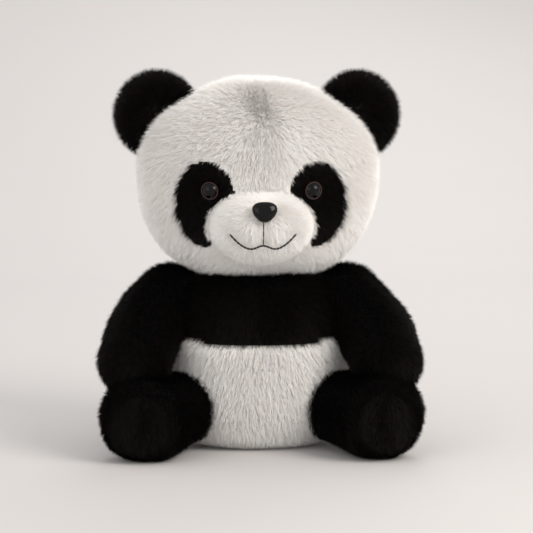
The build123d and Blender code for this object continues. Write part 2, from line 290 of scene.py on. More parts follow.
def turned(profile, steps):
    # a form spun from half an outline (radius, height), closed at both poles
    bm = bmesh.new()
    verts = [bm.verts.new((r, 0, z)) for r, z in profile]
    edges = [bm.edges.new(pair) for pair in zip(verts, verts[1:])]
    bmesh.ops.spin(
        bm, geom=verts + edges, axis=(0, 0, 1), cent=(0, 0, 0), angle=2 * math.pi, steps=steps,
        use_merge=True)
    bmesh.ops.remove_doubles(bm, verts=bm.verts, dist=1e-6)
    bmesh.ops.recalc_face_normals(bm, faces=bm.faces)
    # the operators leave the faces in no fixed order, and the pile is scattered face by face
    bm.verts.index_update()
    count = len(bm.verts)

    def place(face):
        corners = [v.index for v in face.verts]
        return min(corners) * count + max(corners)

    bm.faces.sort(key=place)
    return bm


def ball(radius, subdivisions):
    bm = bmesh.new()
    bmesh.ops.create_icosphere(bm, subdivisions=subdivisions, radius=radius)
    return bm


def eggOutline(width, top, widest, bottom, upper, lower, points):
    # superellipse quarters: an exponent of 2 is an ellipse, and more is fuller
    outline = []
    for i in range(points + 1):
        turn = math.pi * i / points - math.pi / 2
        power = upper if turn > 0 else lower
        across = abs(math.cos(turn)) ** (2 / power)
        up = abs(math.sin(turn)) ** (2 / power)
        height = widest + (top - widest) * up if turn > 0 else widest - (widest - bottom) * up
        outline.append((max(0.0, width * across), height))
    outline[0], outline[-1] = (0.0, bottom), (0.0, top)
    return outline


def seamDent(distance, depth, width):
    # how far a sewn seam pulls the surface in, at a distance from its line
    return depth * math.exp(-((distance / width) ** 2))


def lumps(p, form):
    # uneven filling: how far it pushes the skin out, or lets it sink
    return noise.noise(p * form["lumpsPerMetre"]) * form["lump"]


head = {
    "crown": 1.96, "jaw": 2.45, "widest": 0.525,  # fullness above and below, height as a share
    "chin": 9 * mm,  # the soft jaw hangs below the solid one
    "sink": 1.6 * mm, "crownSink": 1.5,  # room for the pile inside the solid's outline
    "seamDepth": 0.7 * mm, "seamWidth": 3.5 * mm, "backSeam": 0.6,
    "lump": 1.4 * mm, "lumpsPerMetre": 28, "rings": 110, "turns": 180,
}
headLow, headHigh = cadCorners(
    "head_face_left", "head_face_right", "head_back_left", "head_back_right")
headMiddle = headLow.z + (headHigh.z - headLow.z) * head["widest"]


def makeHeadSkin():
    width = headHigh.x - head["sink"]
    top, chin = headHigh.z - head["crownSink"] * head["sink"], headLow.z - head["chin"]
    bm = turned(
        eggOutline(width, top, headMiddle, chin, head["crown"], head["jaw"], head["rings"]),
        head["turns"])
    flatten = (headHigh.y - head["sink"]) / width
    backDepth = head["backSeam"] * head["seamDepth"]
    for v in bm.verts:
        v.co.y *= flatten
        outward = Vector((v.co.x, v.co.y, v.co.z - headMiddle)).normalized()
        depth = head["seamDepth"] if v.co.y < 0 else backDepth
        dent = seamDent(v.co.x, depth, head["seamWidth"])
        dent += seamDent(v.co.y, backDepth, head["seamWidth"])
        v.co += outward * (lumps(v.co, head) - dent)
    return bm


muzzle = {
    "halfDepth": 34 * mm, "sink": 0.8 * mm, "lipDepth": 2.2 * mm, "lipWidth": 3.2 * mm,
    "cutBack": 12 * mm, "pileBack": 6 * mm, "subdivisions": 5,
    "steepest": 0.02,  # keeps a point past the muzzle's outline on its rim
}
muzzleLow, muzzleHigh = cadCorners("muzzle_left", "muzzle_right")
muzzleHalf = Vector((muzzleHigh.x, muzzle["halfDepth"], (muzzleHigh.z - muzzleLow.z) / 2))
muzzleAt = Vector((0, muzzleLow.y + muzzleHalf.y, (muzzleHigh.z + muzzleLow.z) / 2))


def makeMuzzleSkin():
    bm = ball(1.0, muzzle["subdivisions"])
    for v in bm.verts:
        v.co = muzzleAt + Vector([c * (h - muzzle["sink"]) for c, h in zip(v.co, muzzleHalf)])
        crease = mouthGap(v.co.x, v.co.z)
        if v.co.y < muzzleAt.y:
            v.co.y += seamDent(crease, muzzle["lipDepth"], muzzle["lipWidth"])
    back = muzzleAt.y + muzzle["cutBack"]
    gone = [f for f in bm.faces if f.calc_center_median().y > back]
    bmesh.ops.delete(bm, geom=gone, context="FACES")
    rim = [e for e in bm.edges if e.is_boundary]
    bmesh.ops.contextual_create(bm, geom=rim)
    return bm


mouth = {
    "top": 184 * mm, "foot": 168.2 * mm,
    "smileHalf": 23.2 * mm, "smileEnd": 175.4 * mm, "smileLow": 165.6 * mm,
    "dip": 0.36, "riseFrom": 0.38, "riseCurve": 1.7,  # shares of the way to the corner
    "stitch": 4.2 * mm, "smileStitches": 10, "thread": 1.7 * mm, "fineThread": 1.0 * mm,
    "overlap": 0.6, "proud": 3.2 * mm, "beadSides": 10, "beadRings": 8,
}


def smileHeight(x):
    # height of the smile off the middle: down to a low point, then up to the corner
    t = abs(x) / mouth["smileHalf"]
    fall = (mouth["foot"] - mouth["smileLow"]) * (1 - smooth(0, mouth["dip"], t))
    rise = max(0, (t - mouth["riseFrom"]) / (1 - mouth["riseFrom"])) ** mouth["riseCurve"]
    return mouth["smileLow"] + fall + (mouth["smileEnd"] - mouth["smileLow"]) * rise


def mouthGap(x, z):
    # distance from a point on the muzzle to the line of the mouth, both seen from in front
    toMiddle = abs(x)
    if not mouth["foot"] <= z <= mouth["top"]:
        toMiddle = math.hypot(x, min(abs(z - mouth["foot"]), abs(z - mouth["top"])))
    if abs(x) < mouth["smileHalf"]:
        toSmile = abs(z - smileHeight(x))
    else:
        toSmile = math.hypot(abs(x) - mouth["smileHalf"], z - mouth["smileEnd"])
    return min(toMiddle, toSmile)


def onMuzzle(x, z, proud):
    # the point of the muzzle's front at (x, z), lifted off the skin
    u, w = x / muzzleHalf.x, (z - muzzleAt.z) / muzzleHalf.z
    y = muzzleAt.y - muzzleHalf.y * math.sqrt(max(muzzle["steepest"], 1 - u * u - w * w))
    outward = Vector((u / muzzleHalf.x, (y - muzzleAt.y) / muzzleHalf.y ** 2, w / muzzleHalf.z))
    return Vector((x, y, z)) + outward.normalized() * proud


torso = {
    "halfWidth": 72 * mm, "top": 137 * mm, "hemDrop": 3 * mm, "floorGap": 0.6 * mm,
    "widest": 0.42, "crown": 3.6, "hem": 3.8,  # height as a share, fullness above and below
    "seamDepth": 1.5 * mm, "seamWidth": 4.5 * mm,
    "band": 88.5 * mm, "bandRise": 4 * mm, "bandRiseFrom": 30 * mm, "bandRiseTo": 62 * mm,
    "lump": 1.6 * mm, "lumpsPerMetre": 30, "rings": 84, "turns": 150,
}
torsoDeep = cadCorners(
    "chest_left", "chest_right", "back_yoke", "belly", "lower_back_left", "seat_base")[1].y


def bandLine(x):
    # the lower edge of the black yoke: level in front, a little higher at the sides
    rise = torso["bandRise"] * smooth(torso["bandRiseFrom"], torso["bandRiseTo"], abs(x))
    return torso["band"] + rise


def makeTorsoSkin():
    outline = eggOutline(
        torso["halfWidth"], torso["top"], torso["top"] * torso["widest"], -torso["hemDrop"],
        torso["crown"], torso["hem"], torso["rings"])
    bm = turned(outline, torso["turns"])
    flatten = torsoDeep / torso["halfWidth"]
    for v in bm.verts:
        v.co.y *= flatten
        outward = Vector((0, 0, 1))
        if v.co.xy.length > 1e-6:
            outward = Vector((v.co.x, v.co.y, 0)).normalized()
        dent = seamDent(v.co.z - bandLine(v.co.x), torso["seamDepth"], torso["seamWidth"])
        if v.co.z > torso["band"]:
            dent += seamDent(v.co.x, torso["seamDepth"], torso["seamWidth"])
        v.co += outward * (lumps(v.co, torso) - dent)
        v.co.z = max(v.co.z, torso["floorGap"])
    return bm


limb = {"rootRings": 16, "sideRings": 26, "tipRings": 18, "turns": 84}


def limbOutline(rootRadius, waist, tipRadius, length):
    # half the outline of a stuffed limb: round root, a gentle waist and a round end
    outline = []
    for i in range(limb["rootRings"]):
        turn = -math.pi / 2 + math.pi / 2 * i / limb["rootRings"]
        outline.append((rootRadius * math.cos(turn), rootRadius * math.sin(turn)))
    for i in range(limb["sideRings"]):
        t = i / limb["sideRings"]
        straight = rootRadius + (tipRadius - rootRadius) * smooth(0, 1, t)
        outline.append((straight + waist * math.sin(math.pi * t), length * t))
    for i in range(limb["tipRings"] + 1):
        turn = math.pi / 2 * i / limb["tipRings"]
        outline.append((tipRadius * math.cos(turn), length + tipRadius * math.sin(turn)))
    outline[0], outline[-1] = (0.0, -rootRadius), (0.0, length + tipRadius)
    return outline


def along(start, end):
    return Matrix.Translation(start) @ (end - start).to_track_quat("Z", "Y").to_matrix().to_4x4()


arm = {
    "root": 28 * mm, "rootOut": 2 * mm, "waist": 0.0, "paw": 25 * mm, "bow": 6.5 * mm,
    "cadPaw": 24.5 * mm,  # the solid's paw, which places this one
    "pawShift": Vector((-0.8, -13, -9.5)) * mm,  # the paw lies on the front of the foot
    "lump": 1.5 * mm, "lumpsPerMetre": 34,
    "pile": 8.8 * mm, "along": 0.8, "hang": 0.5,  # how far the pile lies along the arm, and down
    "bareFrom": -26 * mm, "bareTo": -8 * mm,  # the pile thins out towards the torso
}


def armEnds(side):
    low, high = cadCorners(f"arm_outer_{side}", f"arm_inner_{side}")
    sign = signs[side]
    across = high.x - arm["cadPaw"] if side == "right" else low.x + arm["cadPaw"]
    root = jointAt(f"arm_{side}_swing") + Vector((sign * arm["rootOut"], 0, 0))
    paw = Vector((across, low.y + arm["cadPaw"], low.z + arm["cadPaw"]))
    return root, paw + mirrored(arm["pawShift"], sign)


def makeArmSkin(side):
    shoulder, paw = armEnds(side)
    run = paw - shoulder
    bm = turned(limbOutline(arm["root"], arm["waist"], arm["paw"], run.length), limb["turns"])
    bmesh.ops.transform(bm, matrix=along(shoulder, paw), verts=bm.verts)
    for v in bm.verts:
        t = min(1.0, max(0.0, (v.co - shoulder).dot(run) / run.length_squared))
        v.co.x += arm["bow"] * math.sin(math.pi * t) * signs[side]
        v.co += v.co.normalized() * lumps(v.co, arm)
    return bm


leg = {
    "root": 25 * mm, "waist": -2.5 * mm, "foot": 32.6 * mm, "floorGap": 0.6 * mm,
    "cadFoot": 35.6 * mm,  # the solid's foot, which places this one
    "footShift": Vector((5.4, -9, 0)) * mm,
    "soleTurn": 12.0, "soleDepth": 4.5 * mm, "soleStart": 0.86, "soleSquash": 0.72,
    "soleMargin": 2 * mm, "seamDepth": 1.3 * mm, "seamWidth": 3.5 * mm,
    "lump": 1.4 * mm, "lumpsPerMetre": 30,
}
soleFrom = (leg["foot"] - leg["soleDepth"]) * leg["soleStart"]  # where the sole's disc begins
soleRadius = math.sqrt(leg["foot"] ** 2 - soleFrom ** 2) + leg["soleMargin"]


def legEnds(side):
    low, high = cadCorners(f"leg_upper_{side}", f"leg_under_{side}", f"sole_{side}")
    across = high.x - leg["cadFoot"] if side == "right" else low.x + leg["cadFoot"]
    foot = Vector((across, low.y + leg["cadFoot"], leg["foot"] - leg["floorGap"]))
    return jointAt(f"leg_{side}_drop"), foot + mirrored(leg["footShift"], signs[side])


def soleFacing(side):
    turn = math.radians(leg["soleTurn"]) * signs[side]
    return Vector((math.sin(turn), -math.cos(turn), 0.0))


def makeLegSkin(side):
    hip, foot = legEnds(side)
    paw = armEnds(side)[1]
    facing = soleFacing(side)
    bm = turned(
        limbOutline(leg["root"], leg["waist"], leg["foot"], (foot - hip).length), limb["turns"])
    bmesh.ops.transform(bm, matrix=along(hip, foot), verts=bm.verts)
    for v in bm.verts:
        forward = (v.co - foot).dot(facing)
        if forward > soleFrom:  # the sole is a flatter disc, sewn in round its edge
            v.co -= facing * (forward - soleFrom) * leg["soleSquash"]
        across = (v.co - foot - facing * (v.co - foot).dot(facing)).length
        if (v.co - foot).dot(facing) > 0:
            dent = seamDent(across - soleRadius, leg["seamDepth"], leg["seamWidth"])
            v.co -= (v.co - foot).normalized() * dent
        v.co += (v.co - foot).normalized() * lumps(v.co, leg)
        if (v.co - paw).length < arm["paw"]:  # the paw presses into the foot
            v.co = paw + (v.co - paw).normalized() * arm["paw"]
        v.co.z = max(v.co.z, leg["floorGap"])
    return bm


ear = {
    "radius": 31 * mm, "halfThick": 9 * mm, "turn": 12.0, "at": Vector((80.5, 0, 263.5)) * mm,
    "cup": 4.5 * mm, "cupFrom": 0.1, "cupTo": 0.85, "subdivisions": 5,
    "pile": 8.0 * mm, "hang": 6 * mm, "density": 1.15,
}


def makeEarSkin(side):
    sign = signs[side]
    bm = ball(1.0, ear["subdivisions"])
    place = Matrix.Translation(mirrored(ear["at"], sign)) @ Matrix.Rotation(
        math.radians(ear["turn"]) * sign, 4, "Z")
    for v in bm.verts:
        out = math.hypot(v.co.x, v.co.z)
        y = v.co.y * ear["halfThick"]
        if v.co.y < 0:  # the front is dished
            y += ear["cup"] * (1 - smooth(ear["cupFrom"], ear["cupTo"], out))
        v.co = place @ Vector((v.co.x * ear["radius"], y, v.co.z * ear["radius"]))
    return bm


tail = {"sink": 1 * mm, "subdivisions": 4, "pile": 9 * mm, "pileFrom": 52 * mm}


def makeTailSkin():
    low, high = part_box("tail_cover")
    radius = (high[2] - low[2]) / 2 - tail["sink"]
    bm = ball(radius, tail["subdivisions"])
    middle = (0, high[1] - radius, (low[2] + high[2]) / 2)
    bmesh.ops.translate(bm, verts=bm.verts, vec=middle)
    return bm


neck = {"sink": 1 * mm, "subdivisions": 4}


def makeNeckSkin():
    low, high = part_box("neck_stuffing")
    bm = ball((high[2] - low[2]) / 2 - neck["sink"], neck["subdivisions"])
    bmesh.ops.translate(bm, verts=bm.verts, vec=(0, 0, (low[2] + high[2]) / 2))
    return bm


# where the face's patches lie, and how long the pile is and which way it lies

patch = {
    "across": 41 * mm, "height": 198.5 * mm, "halfWide": 22.7 * mm, "halfHigh": 34 * mm,
    "muzzleHeight": 181 * mm, "muzzleWide": 41.5 * mm, "muzzleHigh": 30 * mm,
    "face": -20 * mm,  # nothing behind this is on the face
}
eyeAt = Vector((39.5 * mm, 0, 207 * mm))
noseLow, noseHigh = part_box("nose")
noseAt = Vector(((noseLow[0] + noseHigh[0]) / 2, noseLow[1], (noseLow[2] + noseHigh[2]) / 2))


def inPatch(p):
    # an upright oval round the eye, less the muzzle's oval
    if p.y > patch["face"]:
        return False
    across, up = abs(p.x) - patch["across"], p.z - patch["height"]
    eyeOval = (across / patch["halfWide"]) ** 2 + (up / patch["halfHigh"]) ** 2
    up = p.z - patch["muzzleHeight"]
    muzzleOval = (p.x / patch["muzzleWide"]) ** 2 + (up / patch["muzzleHigh"]) ** 2
    return eyeOval < 1 < muzzleOval


hang = {"patchDown": 2.8 * mm, "patchOut": 1.2 * mm, "band": 3.2 * mm}


def underPatchPile(p):
    # where black shows between the strands: the patch, moved the way the pile hangs
    return inPatch(p + Vector((-sideOf(p.x) * hang["patchOut"], 0, hang["patchDown"])))


headLay = {
    "backFrom": -10 * mm, "frontFrom": 50 * mm,  # the front's lay takes over between these
    "partOut": 0.08, "sweepOut": 0.6, "sweepTo": 34 * mm, "fall": -0.85,
    "behindOut": 4, "behindBack": 0.35, "behindFall": -0.9, "behindShare": 1.15,
}


def headComb(p):
    # out from the middle seam in front, back and down over the crown, and down behind
    front = smooth(headLay["backFrom"], headLay["frontFrom"], -p.y)
    out = headLay["partOut"] + headLay["sweepOut"] * smooth(0, headLay["sweepTo"], abs(p.x))
    flow = Vector((sideOf(p.x) * out, 0, headLay["fall"])) * front
    back = headLay["behindBack"] * (1 - front)
    behind = Vector((p.x * headLay["behindOut"], back, headLay["behindFall"]))
    return flow + behind * (headLay["behindShare"] - front)


headLength = {
    "full": 9.5 * mm, "patch": 7.5 * mm,
    "muzzleWide": 44 * mm, "muzzleHigh": 36 * mm, "muzzleFrom": 0.95, "muzzleTo": 1.7,
    "eyeFrom": 6.5 * mm, "eyeTo": 14 * mm, "short": 0.55,  # share of the length beside these
}


def shortened(share, low, high, distance):
    # a share of the full length up to low, and the full length from high on
    return share + (1 - share) * smooth(low, high, distance)


def headPile(p):
    long = headLength["full"]
    if p.y < 0:
        up = p.z - patch["muzzleHeight"]
        toMuzzle = math.hypot(p.x / headLength["muzzleWide"], up / headLength["muzzleHigh"])
        long *= shortened(
            headLength["short"], headLength["muzzleFrom"], headLength["muzzleTo"], toMuzzle)
    if inPatch(p):
        long = min(long, headLength["patch"])
    if p.y < 0:
        toEye = Vector((abs(p.x) - eyeAt.x, 0, p.z - eyeAt.z)).length
        long *= shortened(headLength["short"], headLength["eyeFrom"], headLength["eyeTo"], toEye)
    return long


muzzleLay = {
    "back": 0.35, "fall": 0.25, "full": 6.2 * mm, "density": 1.7,
    "lipShort": 0.3, "lipFrom": 1.2 * mm, "lipTo": 5 * mm,
    "noseShort": 0.45, "noseFrom": 8 * mm, "noseTo": 14 * mm,
    "bareFrom": 0.5 * mm, "bareTo": 1.6 * mm,  # no pile under the mouth's thread
}


def muzzleComb(p):
    away = Vector((p.x, 0, p.z - noseAt.z))
    return away.normalized() + Vector((0, muzzleLay["back"], 0)) + down * muzzleLay["fall"]


def muzzlePile(p):
    toNose = math.hypot(p.x, p.z - noseAt.z)
    byLip = shortened(
        muzzleLay["lipShort"], muzzleLay["lipFrom"], muzzleLay["lipTo"], mouthGap(p.x, p.z))
    byNose = shortened(
        muzzleLay["noseShort"], muzzleLay["noseFrom"], muzzleLay["noseTo"], toNose)
    return muzzleLay["full"] * byLip * byNose


def muzzleThick(p):
    return smooth(muzzleLay["bareFrom"], muzzleLay["bareTo"], mouthGap(p.x, p.z))


torsoLay = {
    "splayFrom": 1 * mm, "splayTo": 12 * mm,  # what it stands on pushes the hem's pile outwards
    "shoulderOut": 0.3, "shoulderFrom": 60 * mm, "shoulderTo": 110 * mm,
    "full": 9.2 * mm, "hemShort": 0.55, "hemTo": 18 * mm,
    "armBare": 27 * mm, "legBare": 21 * mm, "neckBare": 24 * mm, "neckFrom": 100 * mm,
}
limbRoots = [(jointAt(f"arm_{side}_swing"), jointAt(f"leg_{side}_drop")) for side in signs]


def torsoComb(p):
    splay = 1 - smooth(torsoLay["splayFrom"], torsoLay["splayTo"], p.z)
    out = Vector((p.x, p.y, 0)).normalized()
    shoulder = torsoLay["shoulderOut"] * smooth(
        torsoLay["shoulderFrom"], torsoLay["shoulderTo"], p.z)
    return down * (1 - splay) + out * splay + Vector((sideOf(p.x) * shoulder, 0, 0))


def torsoPile(p):
    return torsoLay["full"] * shortened(torsoLay["hemShort"], 0, torsoLay["hemTo"], p.z)


def torsoThick(p):
    # no pile where an arm, a leg or the neck is sewn on
    for shoulder, hip in limbRoots:
        if (p - shoulder).length < torsoLay["armBare"] or (p - hip).length < torsoLay["legBare"]:
            return 0.0
    underNeck = math.hypot(p.x, p.y) < torsoLay["neckBare"] and p.z > torsoLay["neckFrom"]
    return 0.0 if underNeck else 1.0


# pile: thousands of tapered strands set on a skin by geometry nodes

strand = {
    "width": 0.55 * mm,  # real fibre is far finer, and would not show; this is a wisp of it
    "density": 1.9e6, "corners": 3, "shortest": 0.72, "longest": 1.12,
    "clump": 4.5 * mm, "clumpPull": 0.45, "clumpReach": 9 * mm, "stray": 0.2,
}


def makeStrands(batch):
    # one strand of each tone, a unit tall, kept in its own collection for the nodes to pick from
    box = bpy.data.collections.new(f"{batch}Strands")
    for i, material in enumerate(pile[batch]):
        bm = bmesh.new()
        bmesh.ops.create_cone(
            bm, cap_ends=True, cap_tris=False, segments=strand["corners"], radius1=0.5,
            radius2=0.0, depth=1.0)
        bmesh.ops.remove_doubles(bm, verts=bm.verts, dist=1e-5)
        bmesh.ops.translate(bm, verts=bm.verts, vec=(0, 0, 0.5))
        mesh = bpy.data.meshes.new(f"{batch}Strand{i}")
        bm.to_mesh(mesh)
        bm.free()
        mesh.materials.append(material)
        box.objects.link(bpy.data.objects.new(mesh.name, mesh))
    return box


strands = {batch: makeStrands(batch) for batch in pileTones}


def pileTree(batch, seed, density):
    tree = bpy.data.node_groups.new("pileNodes", "GeometryNodeTree")
    for way in ("INPUT", "OUTPUT"):
        tree.interface.new_socket("Geometry", in_out=way, socket_type="NodeSocketGeometry")
    start = addNode(tree, "NodeGroupInput")
    end = addNode(tree, "NodeGroupOutput")

    def named(name, kind):
        node = addNode(tree, "GeometryNodeInputNamedAttribute", {"data_type": kind}, Name=name)
        return node.outputs["Attribute"]

    def add(a, b):
        node = addNode(tree, "ShaderNodeVectorMath", {"operation": "ADD"}, {0: a, 1: b})
        return node.outputs[0]

    # as many roots as the panel's thickness asks for
    amount = addNode(
        tree, "ShaderNodeMath", {"operation": "MULTIPLY"}, {0: named("thick", "FLOAT")})
    amount.inputs[1].default_value = density
    scatter = addNode(
        tree, "GeometryNodeDistributePointsOnFaces", {"distribute_method": "RANDOM"},
        {"Mesh": start.outputs[0], "Density": amount.outputs[0]}, Seed=seed)

    # each strand follows the comb, leans to the middle of its clump and strays a little
    place = addNode(tree, "GeometryNodeInputPosition").outputs[0]
    cells = addNode(
        tree, "ShaderNodeTexVoronoi", {"voronoi_dimensions": "3D", "feature": "F1"},
        {"Vector": place}, Scale=1 / strand["clump"])
    toClump = addNode(
        tree, "ShaderNodeVectorMath", {"operation": "SUBTRACT"},
        {0: cells.outputs["Position"], 1: place})
    pull = addNode(
        tree, "ShaderNodeVectorMath", {"operation": "SCALE"}, {0: toClump.outputs[0]},
        Scale=strand["clumpPull"] / strand["clumpReach"])
    stray = addNode(tree, "FunctionNodeRandomValue", {"data_type": "FLOAT_VECTOR"}, Seed=seed + 1)
    stray.inputs[0].default_value = [-strand["stray"]] * 3
    stray.inputs[1].default_value = [strand["stray"]] * 3
    aim = add(add(named("comb", "FLOAT_VECTOR"), pull.outputs[0]), stray.outputs[0])
    turn = addNode(tree, "FunctionNodeAlignRotationToVector", {"axis": "Z"}, {"Vector": aim})

    # its own length and tone
    uneven = addNode(tree, "FunctionNodeRandomValue", {"data_type": "FLOAT"}, Seed=seed + 2)
    uneven.inputs[2].default_value = strand["shortest"]
    uneven.inputs[3].default_value = strand["longest"]
    length = addNode(
        tree, "ShaderNodeMath", {"operation": "MULTIPLY"},
        {0: named("long", "FLOAT"), 1: uneven.outputs[1]})
    size = addNode(
        tree, "ShaderNodeCombineXYZ", None, {"Z": length.outputs[0]},
        X=strand["width"], Y=strand["width"])
    source = addNode(
        tree, "GeometryNodeCollectionInfo", Collection=strands[batch], Separate_Children=True,
        Reset_Children=True)
    which = addNode(tree, "FunctionNodeRandomValue", {"data_type": "INT"}, Seed=seed + 3)
    which.inputs[4].default_value = 0
    which.inputs[5].default_value = len(pileTones[batch]) - 1
    grow = addNode(
        tree, "GeometryNodeInstanceOnPoints", None,
        {"Points": scatter.outputs["Points"], "Instance": source.outputs[0],
         "Rotation": turn.outputs[0], "Scale": size.outputs[0],
         "Instance Index": which.outputs[2]}, Pick_Instance=True)
    real = addNode(tree, "GeometryNodeRealizeInstances", None, {"Geometry": grow.outputs[0]})
    tree.links.new(real.outputs[0], end.inputs[0])
    return tree


lay = {
    "lift": 0.47,  # how steeply the strands stand: 1 is straight out, 0 is flat
    "swirl": 0.3, "swirlsPerMetre": 22,
}


def pileName(node):
    return node.replace("_", " ").title().replace(" ", "") + "Pile"


def growPile(skin, name, batch, inside, combOf, longOf, seed, thickOf=None, density=1.0):
    # the strands of one sewn panel: the part of the skin where inside(point) is true
    bm = bmesh.new()
    bm.from_mesh(skin.data)
    gone = [f for f in bm.faces if not inside(f.calc_center_median())]
    bmesh.ops.delete(bm, geom=gone, context="FACES")
    panel = bpy.data.meshes.new(name + "Panel")
    bm.to_mesh(panel)
    bm.free()
    # all three are made before any is read, because a new attribute moves the others
    kinds = {"comb": "FLOAT_VECTOR", "long": "FLOAT", "thick": "FLOAT"}
    for key, kind in kinds.items():
        panel.attributes.new(key, kind, "POINT")
    comb, long, thick = [panel.attributes[key] for key in kinds]
    rise = lay["lift"]
    for v in panel.vertices:
        flow = combOf(v.co)
        flow = flow - v.normal * flow.dot(v.normal)
        flow = flow.normalized() if flow.length > 1e-4 else Vector((0, 0, 0))
        swirl = noise.noise_vector(v.co * lay["swirlsPerMetre"]) * lay["swirl"]
        flow = flow + swirl - v.normal * swirl.dot(v.normal)
        comb.data[v.index].vector = (flow * (1 - rise) + v.normal * rise).normalized()
        long.data[v.index].value = longOf(v.co)
        thick.data[v.index].value = thickOf(v.co) if thickOf else 1.0
    holder = bpy.data.objects.new(name + "Panel", panel)
    bpy.context.scene.collection.objects.link(holder)
    modifier = holder.modifiers.new("pile", "NODES")
    modifier.node_group = pileTree(batch, seed, strand["density"] * density)
    graph = bpy.context.evaluated_depsgraph_get()
    mesh = bpy.data.meshes.new_from_object(holder.evaluated_get(graph), depsgraph=graph)
    bpy.data.objects.remove(holder)
    piece = bpy.data.objects.new(name, mesh)
    bpy.context.scene.collection.objects.link(piece)
    print(name, len(mesh.polygons), "faces")
    return piece


# head
headSkin = keep(makeHeadSkin(), "headSkin", backing["white"])
headSkin.data.materials.append(backing["black"])
for polygon in headSkin.data.polygons:
    polygon.material_index = 1 if underPatchPile(polygon.center) else 0
ready(headSkin, "head", "white_plush", "head_stuffing")

headCover = {"bare": 0.72, "frontDensity": 1.25, "backDensity": 0.8, "patchDensity": 1.2}


def headThick(p):
    # no pile where the muzzle covers the face
    oval = (p.x / muzzleHalf.x) ** 2 + ((p.z - muzzleAt.z) / muzzleHalf.z) ** 2
    return 0.0 if p.y < 0 and oval < headCover["bare"] else 1.0


quarters = {
    "head_face_left": (-1, -1, 11), "head_face_right": (1, -1, 12),
    "head_back_left": (-1, 1, 13), "head_back_right": (1, 1, 14),
}
for node, (sx, sy, seed) in quarters.items():
    def inQuarter(p, sx=sx, sy=sy):
        return p.x * sx > 0 and p.y * sy > 0 and not (inPatch(p) or underPatchPile(p))

    fur = growPile(
        headSkin, pileName(node), "white", inQuarter, headComb, headPile, seed, headThick,
        headCover["frontDensity"] if sy < 0 else headCover["backDensity"])
    ready(fur, "head", "white_plush", node)
for side, sign in signs.items():
    fur = growPile(
        headSkin, pileName(f"eye_patch_{side}"), "black",
        lambda p, s=sign: p.x * s > 0 and inPatch(p) and underPatchPile(p),
        headComb, headPile, 20 + sign, density=headCover["patchDensity"])
    ready(fur, "head", "black_plush", f"eye_patch_{side}")
print("head made")

# muzzle
muzzleSkin = keep(makeMuzzleSkin(), "muzzleSkin", backing["white"])
ready(muzzleSkin, "head", "white_plush", "muzzle_stuffing")
for side, sign in signs.items():
    fur = growPile(
        muzzleSkin, pileName(f"muzzle_{side}"), "white",
        lambda p, s=sign: p.x * s > 0 and p.y < muzzleAt.y + muzzle["pileBack"],
        muzzleComb, muzzlePile, 30 + sign, muzzleThick, muzzleLay["density"])
    ready(fur, "head", "white_plush", f"muzzle_{side}")
print("muzzle made")

# nose, eyes and mouth
nose = {
    "half": (9.3 * mm, 5.2 * mm, 7.8 * mm),
    "narrow": 0.42, "widen": 0.10,  # towards the foot, and towards the top
    "sideBulge": 0.16, "topBulge": 0.10, "flatness": 0.8,
    "lean": 12.0, "proud": 3.2 * mm, "drop": 4 * mm, "aside": 1 * mm, "subdivisions": 5,
}


def makeNose():
    # a cushion-shaped three-cornered button, wide at the top
    bm = ball(1.0, nose["subdivisions"])
    for v in bm.verts:
        x, y, z = v.co
        x, z = x * (1 + nose["sideBulge"] * abs(z)), z * (1 + nose["topBulge"] * abs(x))
        x *= 1 + (nose["narrow"] if z < 0 else nose["widen"]) * z
        flat = abs(y) ** nose["flatness"] * (1 if y > 0 else -1)
        v.co = Vector([c * half for c, half in zip((x, flat, z), nose["half"])])
    seat = onMuzzle(nose["aside"], noseAt.z - nose["drop"], nose["proud"])
    place = Matrix.Translation(seat) @ Matrix.Rotation(math.radians(-nose["lean"]), 4, "X")
    bmesh.ops.transform(bm, matrix=place, verts=bm.verts)
    return bm


ready(keep(makeNose(), "nose", blackButton), "head", "black_button", "nose")


def makeMouth():
    # back stitches, each a long bead of thread laid along the line
    tall, half = mouth["top"] - mouth["foot"], mouth["smileHalf"]
    steps, count = int(tall / mouth["stitch"]), mouth["smileStitches"]
    middle = [(0.0, mouth["top"] - tall * i / steps) for i in range(steps + 1)]
    runs = [(mouth["fineThread"], middle)]
    for sign in (-1, 1):
        smile = [(sign * half * i / count, smileHeight(half * i / count)) for i in range(count + 1)]
        runs.append((mouth["thread"], smile))
    bm = bmesh.new()
    for thread, run in runs:
        ends = [onMuzzle(x, z, mouth["proud"]) for x, z in run]
        for a, b in zip(ends, ends[1:]):
            made = bmesh.ops.create_uvsphere(
                bm, u_segments=mouth["beadSides"], v_segments=mouth["beadRings"],
                radius=1.0)["verts"]
            reach = (b - a).length * mouth["overlap"]
            size = Matrix.Diagonal((thread / 2, thread / 2, reach, 1))
            bmesh.ops.transform(bm, matrix=along((a + b) / 2, b) @ size, verts=made)
    return bm


ready(keep(makeMouth(), "mouthStitching", blackThread), "head", "black_thread", "mouth_stitching")
for side in signs:
    paint(f"eye_{side}", blackButton)
    paint(f"eye_iris_{side}", amberRing)
print("face made")

# ears
for side, sign in signs.items():
    skin = keep(makeEarSkin(side), f"{side}EarSkin", backing["black"])
    ready(skin, f"ear_{side}", "black_plush", f"ear_stuffing_{side}")
    fur = growPile(
        skin, pileName(f"ear_{side}"), "black", lambda p: True,
        lambda p, m=mirrored(ear["at"], sign): (p - m) + down * ear["hang"],
        lambda p: ear["pile"], 40 + sign, density=ear["density"])
    ready(fur, f"ear_{side}", "black_plush", f"ear_front_{side}", f"ear_back_{side}")
print("ears made")

